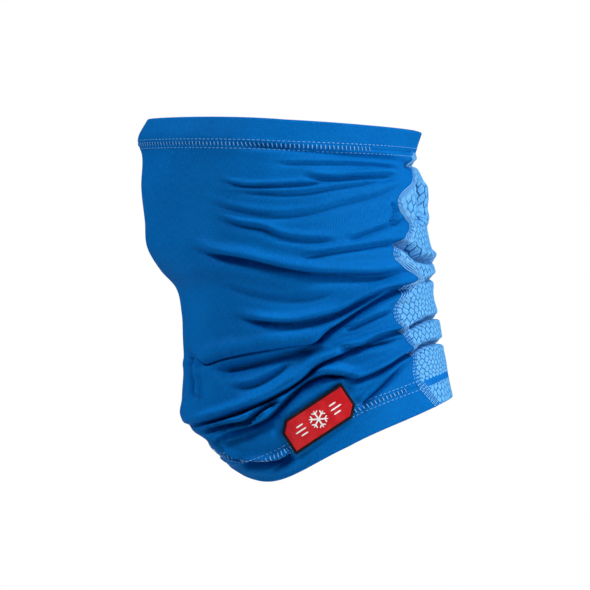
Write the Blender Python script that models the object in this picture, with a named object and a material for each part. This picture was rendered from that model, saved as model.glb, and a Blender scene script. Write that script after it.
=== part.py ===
# A knitted cooling neck gaiter in the form that it has on a wearer: a tube of cloth that is stretched over the
# nose and bunched round the throat, with a turned hem at each end, a patterned panel down the back and a badge.
# The wearer faces -Y, and +X is the wearer's left. The origin is the middle of the top opening.

import math

import bmesh
import bpy
import numpy as np
from mathutils import Vector

# Overall sizes of the worn form, in metres
DEPTH = 0.227
HEIGHT = 0.261
WIDTH = 0.150

# The cloth, its hems and what holds the pieces apart
CLOTH = 0.0012
HEM_CLOTH = 0.0022
HEM_DEPTH = 0.0195
GAP = 0.0004

# The deepest and widest fold, and the drop of the longest overhanging lip
FOLD_DEPTH = 0.0039
FOLD_WIDTH = 0.0045
FOLD_LIP = 0.002

# The badge on the left side
BADGE_LENGTH = 0.054
BADGE_WIDTH = 0.0248
BADGE_CHAMFER = 0.0068
BADGE_BASE = 0.0009
BADGE_RIM_WIDTH = 0.0019
BADGE_RIM_HEIGHT = 0.0008
BADGE_FACE_THICKNESS = 0.0007
BADGE_RISE = math.radians(33.5)
BADGE_MARGIN = 0.006

# Where the origin and the badge's middle lie in the side view, as shares of DEPTH and HEIGHT
ORIGIN_FROM_FRONT = 0.464
ORIGIN_FROM_TOP = 0.02
BADGE_FROM_FRONT = 0.572
BADGE_FROM_TOP = 0.824

# How finely the cloth is divided
FRONT_COLUMNS = 34
BACK_COLUMNS = 10
PANEL_ROWS = 50
HEM_ROWS = 4

# The rings that the cloth passes through, from the top edge down. All columns are percentages.
# cloth: how far down the cloth, along the side
# front, back: place in the side view, from the front (of DEPTH) and from the top (of HEIGHT)
# side: height of the widest place, from the top (of HEIGHT)
# width: of WIDTH; widest: place of the widest place between front and back
# nose: how far the front is drawn to a ridge; droop: how far the cloth hangs between front and side (of HEIGHT)
# curl: how far the front and side are turned in
RINGS = (
    ("top_edge",     0.0, (3.2, 0.5),   (90.2, 4.5),   2.1,  98, 50, 40, 0.0, 0),
    ("nose_tip",     7.2, (0.0, 6.5),   (88.5, 9.0),   7.8, 100, 50, 44, 0.0, 0),
    ("cheek",       12.0, (1.3, 10.5),  (87.7, 12.6), 12.2, 100, 50, 44, 0.0, 0),
    ("upper_lip",   21.0, (1.1, 19.5),  (90.6, 18.0), 20.0, 100, 50, 40, 0.0, 0),
    ("mouth",       30.0, (2.2, 28.5),  (91.2, 27.5), 28.0,  98, 50, 34, 0.0, 0),
    ("chin",        39.0, (3.2, 36.5),  (92.6, 34.5), 36.0,  96, 50, 26, 0.0, 0),
    ("under_chin",  45.7, (7.4, 42.5),  (94.0, 39.5), 42.0,  93, 51, 18, 0.0, 0),
    ("throat_top",  51.3, (12.0, 47.0), (93.7, 44.5), 47.0,  89, 52,  8, 0.0, 0),
    ("throat",      58.6, (13.9, 54.0), (93.8, 49.5), 53.5,  87, 53,  0, 0.0, 0),
    ("throat_low",  66.0, (14.3, 61.0), (95.3, 54.5), 60.0,  85, 53,  0, 0.0, 0),
    ("collar",      73.0, (14.6, 69.0), (96.3, 59.5), 66.5,  84, 53,  0, 0.0, 0),
    ("collar_low",  79.3, (14.0, 77.0), (97.0, 64.0), 71.5,  84, 53,  0, 2.0, 0),
    ("tuck",        85.4, (14.3, 83.0), (97.8, 67.5), 76.0,  84, 53,  0, 4.5, 0),
    ("hem_top",     90.5, (23.2, 88.8), (98.2, 70.0), 80.1,  84, 53,  0, 7.3, 0),
    ("hem_edge",   100.0, (27.4, 95.8), (100.0, 77.2), 88.3, 85, 54,  0, 6.2, 6),
)

# The folds, each along a line in the side view. All columns are percentages.
# points: from the front (of DEPTH) and from the top (of HEIGHT)
# depth, width and lip: of FOLD_DEPTH, FOLD_WIDTH and FOLD_LIP
# ridge: how much of the usual ridge the cloth makes beside the groove
FOLDS = (
    ("hem_shadow", ((31, 9), (42, 9.5), (54.5, 10.5), (67.5, 11.5), (78.5, 12), (85.5, 13.5)), 32, 53, 0, 60),
    ("cheek_1", ((43.5, 14), (54.5, 14), (67.5, 14), (80, 14.5), (85, 16.5)), 30, 40, 0, 100),
    ("cheek_2", ((27, 18.5), (34, 20), (43.5, 20), (53, 19.5), (59.5, 19)), 44, 42, 0, 100),
    ("cheek_3", ((53, 17.5), (61, 18), (69, 17.5), (77, 17), (82, 16.5)), 70, 54, 0, 100),
    ("cheek_4", ((30, 21.5), (40.5, 22), (51.5, 22), (62.5, 20.5), (73.5, 19), (85, 16.5)), 24, 47, 0, 100),
    ("cheek_5", ((22, 24), (31, 26.5), (42, 28), (53, 27.5), (64, 25), (75.5, 22.5), (85, 19)), 32, 68, 0, 100),
    ("pucker", ((80, 24), (81, 27), (79, 30)), 45, 36, 0, 60),
    ("jaw_1", ((26, 28.5), (32.5, 30.5), (39.5, 31.5), (45, 33.5), (53, 34.5), (62.5, 34.5)), 48, 62, 0, 100),
    ("jaw_2", ((66, 34.5), (72, 32.5), (78.5, 30.5), (85, 28.5)), 40, 50, 0, 100),
    ("jaw_3", ((51.5, 39), (62.5, 37.5), (73.5, 36), (84, 34.5)), 48, 56, 0, 100),
    ("jaw_4", ((17.5, 36.5), (24.5, 38.5), (34, 40), (43.5, 42), (53, 43.5), (64, 44), (75.5, 44), (85.5, 42.5)),
     96, 90, 15, 100),
    ("neck_1", ((27, 46.5), (37, 49.5), (48.5, 50.5), (61, 49)), 24, 80, 0, 100),
    ("neck_2", ((31, 55), (39, 56.5), (47.5, 57), (55.5, 56), (63.5, 54), (71, 50.5), (79.5, 47.5), (91.5, 45.5)),
     96, 74, 15, 100),
    ("flap_1", ((16, 64.5), (20.8, 66.8), (26, 65.4), (35.3, 63.6), (48.7, 61.8), (60, 60.8)), 130, 90, 150, 60),
    ("wedge", ((23, 69), (28, 69.2), (36, 67.8), (44, 66), (52, 64.2), (58, 62.8)), 90, 120, 0, 0),
    ("flap_2", ((52, 62.5), (57, 60.5), (63, 57.5), (67.5, 55), (72, 52.5), (77, 50), (82.5, 47.8), (88, 47.5)),
     100, 58, 10, 70),
    ("nape_1", ((63, 63.5), (69, 62.5), (74, 60.8), (79, 59.5), (85.5, 58.5)), 78, 50, 0, 100),
    ("nape_2", ((65, 58.6), (70, 57), (75, 55), (80, 53.6)), 46, 46, 0, 80),
    ("collar_1", ((15.5, 85), (20.8, 83.6), (29.2, 81.3), (38.4, 78.1), (45.1, 75.2), (53.6, 70.1), (58.5, 66.9),
                  (69.4, 63.2), (83, 60.6)), 125, 62, 70, 100),
    ("collar_2", ((20, 86.2), (29.2, 84), (35, 82.8), (40.5, 79.4), (46, 76.6)), 90, 46, 20, 100),
    ("collar_3", ((30, 74.5), (37, 73.5), (43, 70.8), (49, 67)), 46, 66, 0, 80),
    ("hollow", ((24.2, 88.6), (28.7, 86.6), (35.3, 85), (41.4, 82.2), (47.5, 77), (53, 72.8), (58.5, 70.8), (64.2, 71),
                (70, 72.2)), 130, 78, 30, 100),
    ("tail_1", ((66, 72), (72, 71), (78.5, 68.5), (83, 66), (89, 63.2)), 90, 54, 25, 100),
    ("tail_2", ((42.5, 96.5), (49, 93), (58, 87.5), (66, 82), (70.5, 78.5), (75.5, 74.5), (80.5, 70.5), (86, 66)),
     64, 53, 0, 100),
    ("hem_1", ((33, 94.6), (39.5, 94.6), (45, 94), (50, 91)), 95, 58, 0, 100),
    ("hem_2", ((23, 87.8), (27, 90), (30, 92.3), (33, 94)), 90, 50, 0, 100),
    ("hem_3", ((27, 89.5), (34, 87.5), (41.5, 84.5), (47, 80.5)), 36, 80, 0, 100),
    ("pleat", ((16.5, 66), (18, 69), (18.5, 73), (18.5, 77.5)), 110, 44, 0, 60),
    ("back_1", ((84, 14), (87.5, 13), (92.5, 11.5)), 52, 58, 0, 60),
    ("back_2", ((88.5, 18), (89.3, 22), (89.8, 26), (88.5, 30)), 80, 60, 0, 60),
    ("back_3", ((80.5, 35), (85, 36.5), (88.5, 39), (94.5, 40)), 95, 70, 0, 70),
    ("back_4", ((91, 45.5), (93, 44.5), (96, 43.5)), 80, 55, 0, 30),
    ("back_5", ((85.5, 58.5), (89.5, 56.5), (93, 55.2), (98, 54.6)), 150, 48, 0, 0),
    ("back_6", ((87.5, 64.5), (91, 62.6), (95, 61.8), (99, 61.8)), 165, 48, 0, 0),
)

# The seam between the two panels on the left side, as places in the side view. Both columns are percentages.
SEAM = (
    (86, 0), (86.5, 13), (86.5, 20), (83, 23), (82.5, 25), (86, 29), (86, 32.5), (81.5, 37), (81.5, 39),
    (86.5, 42), (88.5, 45), (86, 47.5), (82.5, 50.5), (81.5, 53), (84, 58.5), (86.5, 62.5), (88.5, 72.5), (94, 78.5),
)

# Shape of a fold across its line, in fold widths from the line, positive below it
RIDGE_PLACE, RIDGE_SPREAD, RIDGE_HEIGHT = -1.25, 0.95, 0.55
GROOVE_PLACE, GROOVE_SPREAD, GROOVE_HEIGHT = 0.1, 0.75, -0.6
SLOPE_PLACE, SLOPE_SPREAD, SLOPE_HEIGHT = 2.0, 1.3, 0.2
LIP_PLACE, LIP_SPREAD = -0.7, 0.8
FOLD_END = 0.16
FOLD_OVERRUN = 0.04
RUN_ON = 6

# How finely a fold's line is divided, and how many rows the narrowest fold takes
LINE_STEPS = 8
ROWS_PER_FOLD = 1.25

# Where round the ring the cloth droops and curls, in degrees from the front
DROOP_PLACE, DROOP_SPREAD = 52, 32
CURL_PLACE, CURL_SPREAD = 40, 45
NOSE_ROUNDING = 0.15

# How the folds wander on the hidden right side, as shares of DEPTH and HEIGHT, and how they blend at the middle
WANDER_BACK, WANDER_DOWN = 0.044, 0.031
WAVES_BACK, WAVES_DOWN, WAVES_ACROSS = 12, 5, 7
START_BACK, START_DOWN = 1.0, 0.5
BLEND_WIDTH = 0.2 * WIDTH

# Small steps for measuring slopes, in radians and in percent of the cloth, and where the seam is looked for
TURN_STEP, CLOTH_STEP = 1e-3, 0.05
SEAM_STEP = 0.5
SEAM_FROM, SEAM_TO, SEAM_PLACES = math.radians(100), math.radians(179), 160

# The badge's grid, the rounds that set it on the cloth, and the edges that stay sharp
BADGE_STATIONS, BADGE_LINES = 7, 5
PLACING_ROUNDS = 12
SHARP_ANGLE = math.radians(40)

COLOURS = {
    "front_panel": (0.0027, 0.1170, 0.5030, 1),
    "back_panel": (0.1130, 0.4340, 0.8390, 1),
    "top_hem": (0.0027, 0.1170, 0.4730, 1),
    "bottom_hem": (0.0027, 0.1110, 0.4340, 1),
    "badge_border": (0.0080, 0.0080, 0.0100, 1),
    "badge_face": (0.5840, 0.0090, 0.0140, 1),
}


def side_place(from_front, from_top):
    """Y and Z of a place in the side view, given in percent."""
    return (from_front / 100 - ORIGIN_FROM_FRONT) * DEPTH, (ORIGIN_FROM_TOP - from_top / 100) * HEIGHT


def smooth_through(knots, values, at):
    """A curve through the values, whose slope at each knot follows its neighbours."""
    knots = np.asarray(knots, float)
    values = np.asarray(values, float)
    slopes = np.gradient(values, knots)
    index = np.clip(np.searchsorted(knots, at, side="right") - 1, 0, len(knots) - 2)
    span = knots[index + 1] - knots[index]
    t = (at - knots[index]) / span
    start = (2 * t**3 - 3 * t**2 + 1) * values[index] + (t**3 - 2 * t**2 + t) * span * slopes[index]
    end = (3 * t**2 - 2 * t**3) * values[index + 1] + (t**3 - t**2) * span * slopes[index + 1]
    return start + end


def smoothstep(x):
    x = np.clip(x, 0, 1)
    return x * x * (3 - 2 * x)


def bell(x, place, spread):
    return np.exp(-(((x - place) / spread) ** 2))


def on_both_sides(angle, place, spread):
    """A bell at a place on each side of the front, given in degrees."""
    degrees = (np.degrees(angle) + 180) % 360 - 180
    return bell(degrees, place, spread) + bell(degrees, -place, spread)


def tube(angle, cloth):
    """Points of the smooth tube: angle from the front towards the left, cloth in percent from the top edge."""
    down = [ring[1] for ring in RINGS]

    def column(read):
        return smooth_through(down, [read(ring) for ring in RINGS], cloth)

    front_y = column(lambda ring: side_place(*ring[2])[0])
    front_z = column(lambda ring: side_place(*ring[2])[1])
    back_y = column(lambda ring: side_place(*ring[3])[0])
    back_z = column(lambda ring: side_place(*ring[3])[1])
    side_z = column(lambda ring: side_place(0, ring[4])[1])
    half_width = column(lambda ring: ring[5] / 100 * WIDTH / 2)
    middle_y = front_y + (back_y - front_y) * column(lambda ring: ring[6] / 100)
    nose = column(lambda ring: ring[7] / 100)
    droop = column(lambda ring: ring[8] / 100 * HEIGHT)
    curl = column(lambda ring: ring[9] / 100)

    c, s = np.cos(angle), np.sin(angle)
    ridge_drop = math.hypot(1, NOSE_ROUNDING) - NOSE_ROUNDING
    ridge = (math.hypot(1, NOSE_ROUNDING) - np.hypot(s, NOSE_ROUNDING)) / ridge_drop
    forward = np.where(c > 0, (1 - nose) * c + nose * ridge, 0)
    y = middle_y - (middle_y - front_y) * forward + (back_y - middle_y) * np.maximum(-c, 0)
    z = front_z * (c * c + c) / 2 + side_z * (1 - c * c) + back_z * (c * c - c) / 2
    z = z - droop * on_both_sides(angle, DROOP_PLACE, DROOP_SPREAD)
    turned_in = 1 - curl * on_both_sides(angle, CURL_PLACE, CURL_SPREAD)
    return np.stack([half_width * s * turned_in, middle_y + (y - middle_y) * turned_in, z], axis=-1)


def fold_line(points):
    """A smooth line through a fold's points, and the share of its length at each of its own points."""
    places = np.array([side_place(*point) for point in points])
    knots = np.arange(len(places))
    at = np.linspace(0, len(places) - 1, LINE_STEPS * (len(places) - 1) + 1)
    line = np.stack([smooth_through(knots, places[:, i], at) for i in (0, 1)], axis=-1)
    run = np.concatenate([[0], np.cumsum(np.linalg.norm(np.diff(line, axis=0), axis=1))])
    return line, run / run[-1]


def from_line(line, share, y, z):
    """Distance from a line, positive on its right, and the share along it; its ends run on straight."""
    nearest = np.full(y.shape, np.inf)
    signed, along = np.zeros(y.shape), np.zeros(y.shape)
    for i in range(len(line) - 1):
        step = line[i + 1] - line[i]
        length = math.hypot(*step)
        t = ((y - line[i, 0]) * step[0] + (z - line[i, 1]) * step[1]) / length**2
        t = np.clip(t, -RUN_ON if i == 0 else 0, 1 + RUN_ON if i == len(line) - 2 else 1)
        off_y = y - line[i, 0] - t * step[0]
        off_z = z - line[i, 1] - t * step[1]
        distance = np.hypot(off_y, off_z)
        near = distance < nearest
        nearest[near] = distance[near]
        signed[near] = ((step[1] * off_y - step[0] * off_z) / length)[near]
        along[near] = (share[i] + t * (share[i + 1] - share[i]))[near]
    return signed, along


def folds_at(y, z, least_width):
    """How far the folds push the cloth out, and how far they draw it down, at places in the side view."""
    grooves, ridges, slide, in_groove = (np.zeros(y.shape) for _ in range(4))
    for name, points, depth, width, lip, ridge in FOLDS:
        line, share = fold_line(points)
        signed, along = from_line(line, share, y, z)
        fold_width = width / 100 * FOLD_WIDTH
        drawn_width = max(fold_width, least_width)
        across = signed / drawn_width
        ends = smoothstep((along + FOLD_OVERRUN) / FOLD_END)
        ends = ends * smoothstep((1 + FOLD_OVERRUN - along) / FOLD_END)
        height = depth / 100 * FOLD_DEPTH * math.sqrt(fold_width / drawn_width) * ends
        groove = bell(across, GROOVE_PLACE, GROOVE_SPREAD)
        grooves += height * GROOVE_HEIGHT * groove
        raised = RIDGE_HEIGHT * bell(across, RIDGE_PLACE, RIDGE_SPREAD)
        raised += SLOPE_HEIGHT * bell(across, SLOPE_PLACE, SLOPE_SPREAD)
        ridges += ridge / 100 * height * raised
        in_groove = np.maximum(in_groove, groove * ends)
        slide += lip / 100 * FOLD_LIP * ends * bell(across, LIP_PLACE, LIP_SPREAD)
    return grooves + ridges * (1 - in_groove), slide


def badge_place(y, z):
    """Distances along and across the badge of places in the side view."""
    middle_y, middle_z = side_place(100 * BADGE_FROM_FRONT, 100 * BADGE_FROM_TOP)
    along = (y - middle_y) * math.cos(BADGE_RISE) + (z - middle_z) * math.sin(BADGE_RISE)
    across = (z - middle_z) * math.cos(BADGE_RISE) - (y - middle_y) * math.sin(BADGE_RISE)
    return along, across


def clear_of_badge(y, z):
    """0 where the badge backs the cloth and keeps it smooth, 1 away from it."""
    along, across = badge_place(y, z)
    outside_ends = np.maximum(np.abs(along) - BADGE_LENGTH / 2, 0)
    outside_sides = np.maximum(np.abs(across) - BADGE_WIDTH / 2, 0)
    return smoothstep((np.hypot(outside_ends, outside_sides) - BADGE_MARGIN) / BADGE_MARGIN)


def directions(angle, cloth, surface):
    """Outward normal and downward direction of a surface, both of length one."""
    across = surface(angle + TURN_STEP, cloth) - surface(angle - TURN_STEP, cloth)
    down = surface(angle, np.minimum(cloth + CLOTH_STEP, 100)) - surface(angle, np.maximum(cloth - CLOTH_STEP, 0))
    normal = np.cross(down, across)
    normal /= np.linalg.norm(normal, axis=-1, keepdims=True)
    return normal, down / np.linalg.norm(down, axis=-1, keepdims=True)


def least_fold_width():
    """The narrowest fold that the rows of the grid can show."""
    return ROWS_PER_FOLD * HEIGHT / (PANEL_ROWS + 2 * HEM_ROWS)


def folded_tube(angle, cloth):
    """Points of the outside of the cloth, with its folds."""
    points = tube(angle, cloth)
    x, y, z = points[..., 0], points[..., 1], points[..., 2]
    left = smoothstep(x / BLEND_WIDTH + 0.5)
    hidden = smoothstep(-x / BLEND_WIDTH)
    away_y = y + hidden * WANDER_BACK * DEPTH * np.sin(WAVES_BACK * z / HEIGHT + START_BACK)
    slanted = WAVES_ACROSS * y / DEPTH + WAVES_DOWN * z / HEIGHT
    away_z = z + hidden * WANDER_DOWN * HEIGHT * np.sin(slanted + START_DOWN)
    left_push, left_slide = folds_at(y, z, least_fold_width())
    right_push, right_slide = folds_at(away_y, away_z, least_fold_width())
    kept = np.where(x > 0, clear_of_badge(y, z), 1)
    push = (left * left_push + (1 - left) * right_push) * kept
    slide = (left * left_slide + (1 - left) * right_slide) * kept
    normal, down = directions(angle, cloth, tube)
    return points + push[..., None] * normal + slide[..., None] * down


def seam_angle(cloth):
    """The angle at which a ring of the smooth tube meets the seam on the left side."""
    angle = np.linspace(SEAM_FROM, SEAM_TO, SEAM_PLACES)
    ring = tube(angle, np.full(angle.shape, cloth))
    seam = np.array([side_place(*place) for place in reversed(SEAM)])
    seam_y = smooth_through(seam[:, 1], seam[:, 0], ring[:, 2])
    return float(np.interp(0, ring[:, 1] - seam_y, angle))


def hem_share():
    """The percentage of the cloth that a hem takes, along the side."""
    side_length = (RINGS[-1][4] - RINGS[0][4]) / 100 * HEIGHT
    return 100 * HEM_DEPTH / side_length


def cloth_rows(gap):
    """The rows of the grid from the top edge down, with a gap between each hem and the panels."""
    hem = hem_share()
    half_gap = gap / 2 * hem / HEM_DEPTH
    return np.concatenate([
        np.linspace(0, hem - half_gap, HEM_ROWS + 1),
        np.linspace(hem + half_gap, 100 - hem - half_gap, PANEL_ROWS + 1),
        np.linspace(100 - hem + half_gap, 100, HEM_ROWS + 1),
    ])


def seam_slant(cloth):
    """How much longer the seam is than the height that it crosses."""
    sideways = (seam_angle(cloth + SEAM_STEP) - seam_angle(cloth - SEAM_STEP)) * DEPTH / 2
    return math.hypot(1, sideways * hem_share() / HEM_DEPTH / (2 * SEAM_STEP))


def cloth_columns(cloth, gap):
    """The angles of the grid in one row, with a gap at each seam: the front panel, then the back panel."""
    seam = seam_angle(cloth)
    half_gap = gap / WIDTH * seam_slant(cloth)
    front = np.linspace(-seam + half_gap, seam - half_gap, FRONT_COLUMNS + 1)
    back = np.linspace(seam + half_gap, 2 * math.pi - seam - half_gap, BACK_COLUMNS + 1)
    return np.concatenate([front, back])


def cloth_grid(gap):
    """The angle and the percentage of the cloth at each point of the grid."""
    rows = cloth_rows(gap)
    angle = np.array([cloth_columns(row, gap) for row in rows])
    return angle, np.repeat(rows[:, None], angle.shape[1], axis=1)


def new_material(name, roughness=0.6, metallic=0.0):
    material = bpy.data.materials.new(name + "_material")
    material.use_nodes = True
    shader = material.node_tree.nodes["Principled BSDF"]
    shader.inputs["Base Color"].default_value = COLOURS[name]
    shader.inputs["Roughness"].default_value = roughness
    shader.inputs["Metallic"].default_value = metallic
    return material


def new_piece(name, bm, root, **finish):
    """A named object from a closed mesh, with a material of its own."""
    bmesh.ops.recalc_face_normals(bm, faces=bm.faces)
    mesh = bpy.data.meshes.new(name)
    bm.to_mesh(mesh)
    bm.free()
    mesh.shade_smooth()
    mesh.set_sharp_from_angle(angle=SHARP_ANGLE)
    mesh.materials.append(new_material(name, **finish))
    piece = bpy.data.objects.new(name, mesh)
    bpy.context.collection.objects.link(piece)
    piece.parent = root
    return piece


def add_grid(bm, points):
    """Vertices of a grid of points, as a list of rows."""
    return [[bm.verts.new(Vector(point)) for point in row] for row in points]


def fill_grid(bm, grid, closed=False):
    """Quads over a grid of vertices, whose last column meets the first if it is closed."""
    columns = len(grid[0])
    for upper, lower in zip(grid, grid[1:]):
        for i in range(columns if closed else columns - 1):
            j = (i + 1) % columns
            bm.faces.new((upper[i], lower[i], lower[j], upper[j]))


def bridge(bm, first, second, closed=True):
    """Quads between two rows of vertices."""
    for i in range(len(first) if closed else len(first) - 1):
        j = (i + 1) % len(first)
        bm.faces.new((first[i], first[j], second[j], second[i]))


def border_of(grid):
    """The vertices round the edge of a grid, in order."""
    right = [row[-1] for row in grid[1:-1]]
    left = [row[0] for row in reversed(grid[1:-1])]
    return grid[0] + right + list(reversed(grid[-1])) + left


def cloth_piece(name, outside, inside, closed, root, **finish):
    """A wall of cloth between an outside and an inside grid of points."""
    bm = bmesh.new()
    outer = add_grid(bm, outside)
    inner = add_grid(bm, inside)
    fill_grid(bm, outer, closed)
    fill_grid(bm, inner, closed)
    if closed:
        bridge(bm, outer[0], inner[0])
        bridge(bm, outer[-1], inner[-1])
    else:
        bridge(bm, border_of(outer), border_of(inner))
    return new_piece(name, bm, root, **finish)


def badge_patch(inset, height):
    """A grid of points over the badge's outline, drawn in by an inset, at a height above the cloth."""
    half_length = BADGE_LENGTH / 2 - inset
    half_width = BADGE_WIDTH / 2 - inset
    chamfer = BADGE_CHAMFER - (2 - math.sqrt(2)) * inset
    middle = np.linspace(chamfer - half_length, half_length - chamfer, BADGE_STATIONS)
    stations = [-half_length] + list(middle) + [half_length]
    grid = []
    for station in stations:
        top = half_width - max(0, chamfer - half_length - station)
        bottom = -half_width + max(0, station - half_length + chamfer)
        grid.append([on_cloth(station, across, height) for across in np.linspace(bottom, top, BADGE_LINES)])
    return grid


def on_cloth(along, across, height):
    """The point at a height above the smooth cloth, at distances along and across the badge."""
    middle_y, middle_z = side_place(100 * BADGE_FROM_FRONT, 100 * BADGE_FROM_TOP)
    y = middle_y + along * math.cos(BADGE_RISE) - across * math.sin(BADGE_RISE)
    z = middle_z + along * math.sin(BADGE_RISE) + across * math.cos(BADGE_RISE)
    angle, cloth = math.radians(90), 100 * BADGE_FROM_TOP
    for _ in range(PLACING_ROUNDS):
        here = tube(np.array(angle), np.array(cloth))
        by_angle = (tube(np.array(angle + TURN_STEP), np.array(cloth)) - here) / TURN_STEP
        by_cloth = (tube(np.array(angle), np.array(cloth + CLOTH_STEP)) - here) / CLOTH_STEP
        jacobian = np.array([[by_angle[1], by_cloth[1]], [by_angle[2], by_cloth[2]]])
        step = np.linalg.solve(jacobian, [y - here[1], z - here[2]])
        angle += step[0]
        cloth += step[1]
    place = tube(np.array(angle), np.array(cloth))
    normal, _ = directions(np.array(angle), np.array(cloth), tube)
    return place + height * normal


def badge_border(root):
    """The tray that is sewn to the cloth, with a raised rim round the face."""
    floor = GAP + BADGE_BASE
    bm = bmesh.new()
    underside = add_grid(bm, badge_patch(0, GAP))
    rim_outside = [bm.verts.new(Vector(point)) for point in border_of(badge_patch(0, floor + BADGE_RIM_HEIGHT))]
    rim_inside = [bm.verts.new(Vector(point))
                  for point in border_of(badge_patch(BADGE_RIM_WIDTH, floor + BADGE_RIM_HEIGHT))]
    pocket = add_grid(bm, badge_patch(BADGE_RIM_WIDTH, floor))
    fill_grid(bm, underside)
    bridge(bm, border_of(underside), rim_outside)
    bridge(bm, rim_outside, rim_inside)
    bridge(bm, rim_inside, border_of(pocket))
    fill_grid(bm, pocket)
    return new_piece("badge_border", bm, root, roughness=0.5)


def badge_face(root):
    """The red face that lies in the tray."""
    underside_height = GAP + BADGE_BASE + GAP
    inset = BADGE_RIM_WIDTH + GAP
    underside = badge_patch(inset, underside_height)
    top = badge_patch(inset, underside_height + BADGE_FACE_THICKNESS)
    return cloth_piece("badge_face", top, underside, False, root, roughness=0.4)


def gaiter(root):
    """The hems and panels, all cut from one grid so that they line up."""
    angle, cloth = cloth_grid(GAP)
    outside = folded_tube(angle, cloth)
    outward, _ = directions(*cloth_grid(0), folded_tube)
    single = outside - CLOTH * outward
    double = outside - HEM_CLOTH * outward
    top = slice(0, HEM_ROWS + 1)
    middle = slice(HEM_ROWS + 1, HEM_ROWS + PANEL_ROWS + 2)
    bottom = slice(HEM_ROWS + PANEL_ROWS + 2, len(angle))
    front = slice(0, FRONT_COLUMNS + 1)
    back = slice(FRONT_COLUMNS + 1, angle.shape[1])
    cloth_piece("top_hem", outside[top], double[top], True, root)
    cloth_piece("front_panel", outside[middle, front], single[middle, front], False, root)
    cloth_piece("back_panel", outside[middle, back], single[middle, back], False, root)
    cloth_piece("bottom_hem", outside[bottom], double[bottom], True, root)


def main():
    for thing in list(bpy.data.objects):
        bpy.data.objects.remove(thing)
    root = bpy.data.objects.new("gaiter_root", None)
    bpy.context.collection.objects.link(root)
    gaiter(root)
    badge_border(root)
    badge_face(root)


main()
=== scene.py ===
# The looks of the knitted neck gaiter: its cloth, turned hems, seams, stitches, badge, light and camera.
# The wearer faces -Y, and +X is the wearer's left. Every length is in metres.

import math

import bmesh
import bpy
import numpy as np
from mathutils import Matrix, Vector


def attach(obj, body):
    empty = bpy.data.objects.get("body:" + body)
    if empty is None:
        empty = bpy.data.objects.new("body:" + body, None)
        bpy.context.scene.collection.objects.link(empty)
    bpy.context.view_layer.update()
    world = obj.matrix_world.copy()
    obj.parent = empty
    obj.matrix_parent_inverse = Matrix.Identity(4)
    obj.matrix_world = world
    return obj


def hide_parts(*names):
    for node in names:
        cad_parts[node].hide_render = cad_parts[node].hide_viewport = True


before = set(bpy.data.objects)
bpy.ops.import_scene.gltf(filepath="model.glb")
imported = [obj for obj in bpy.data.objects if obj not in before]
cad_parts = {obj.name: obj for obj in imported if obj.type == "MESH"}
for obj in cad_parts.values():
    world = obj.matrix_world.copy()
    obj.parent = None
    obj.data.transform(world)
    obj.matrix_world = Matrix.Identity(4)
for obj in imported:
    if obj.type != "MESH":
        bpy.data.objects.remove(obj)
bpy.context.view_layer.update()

# Overall sizes of the worn form, in metres
DEPTH = 0.227
HEIGHT = 0.261
WIDTH = 0.150

# The cloth, its hems and what holds the pieces apart
CLOTH = 0.0012
HEM_CLOTH = 0.0022
GAP = 0.0004

# The deepest and widest fold, and the drop of the longest overhanging lip
FOLD_DEPTH = 0.0086
FOLD_WIDTH = 0.0045
FOLD_LIP = 0.004

# The badge on the left side
BADGE_LENGTH = 0.054
BADGE_WIDTH = 0.0248
BADGE_CHAMFER = 0.0068
BADGE_BASE = 0.0009
BADGE_RIM_WIDTH = 0.0019
BADGE_RIM_HEIGHT = 0.0008
BADGE_FACE_THICKNESS = 0.0007
BADGE_RISE = math.radians(33.5)
BADGE_MARGIN = 0.0025

# Where the origin and the badge's middle lie in the side view, as shares of DEPTH and HEIGHT
ORIGIN_FROM_FRONT = 0.464
ORIGIN_FROM_TOP = 0.02
BADGE_FROM_FRONT = 0.572
BADGE_FROM_TOP = 0.824

# The hem's share of the cloth, in percent
HEM = 8.68

# How far the hem's stitches pull the cloth in, and over how wide a strip
STITCH_PULL, STITCH_SPREAD = 0.0004, 0.0016

# Camera, frame and light
CAMERA_DISTANCE = 2.4
FRAME_SIZE = 0.4248
AIM = (0.0, 0.0079, -0.123)
WORLD_LIGHT = 0.06
KEY_POWER, RIM_POWER, BACK_POWER, FILL_POWER = 27, 19, 19, 9
FLOOR_RADIUS, FLOOR_HEIGHT = 1.5, -0.5

# The edges of the badge, and how finely it is divided
TRAY_ROUND, INNER_ROUND = 0.0005, 0.0003
BADGE_STATIONS, BADGE_LINES, CORNER_LINES = 41, 21, 9
PLACING_ROUNDS = 8
SHARP_ANGLE, BAR_SHARP_ANGLE = math.radians(50), math.radians(40)

# The badge's motif: a crystal, its twigs as shares of its size, and the lines beside it
# Each line has its place along the badge, its place across it and its length
CRYSTAL, CRYSTAL_BAR, BAR_HEIGHT = 0.0135, 0.00105, 0.0002
TWIG_PLACE, TWIG_LENGTH, TWIG_WIDTH, TWIG_LEAN = 0.31, 0.21, 0.8, 55
MOTIF_LINES = ((0.0145, 0, 0.0085), (0.0135, 0.0034, 0.0055), (0.0135, -0.0034, 0.0055))

# The knit's loops
WALE, COURSE = 0.0011, 0.0013

# Colours, linear: the dark, middle and light tone of each knit
PLAIN = ((0.0004, 0.104, 0.375, 1), (0.0008, 0.138, 0.475, 1), (0.0012, 0.160, 0.53, 1))
TAPE = ((0.002, 0.12, 0.44, 1), (0.005, 0.17, 0.56, 1), (0.010, 0.20, 0.62, 1))
PANEL = ((0.040, 0.27, 0.62, 1), (0.090, 0.38, 0.76, 1), (0.42, 0.72, 0.97, 1))
PANEL_LINE = (0.003, 0.07, 0.28, 1)

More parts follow.
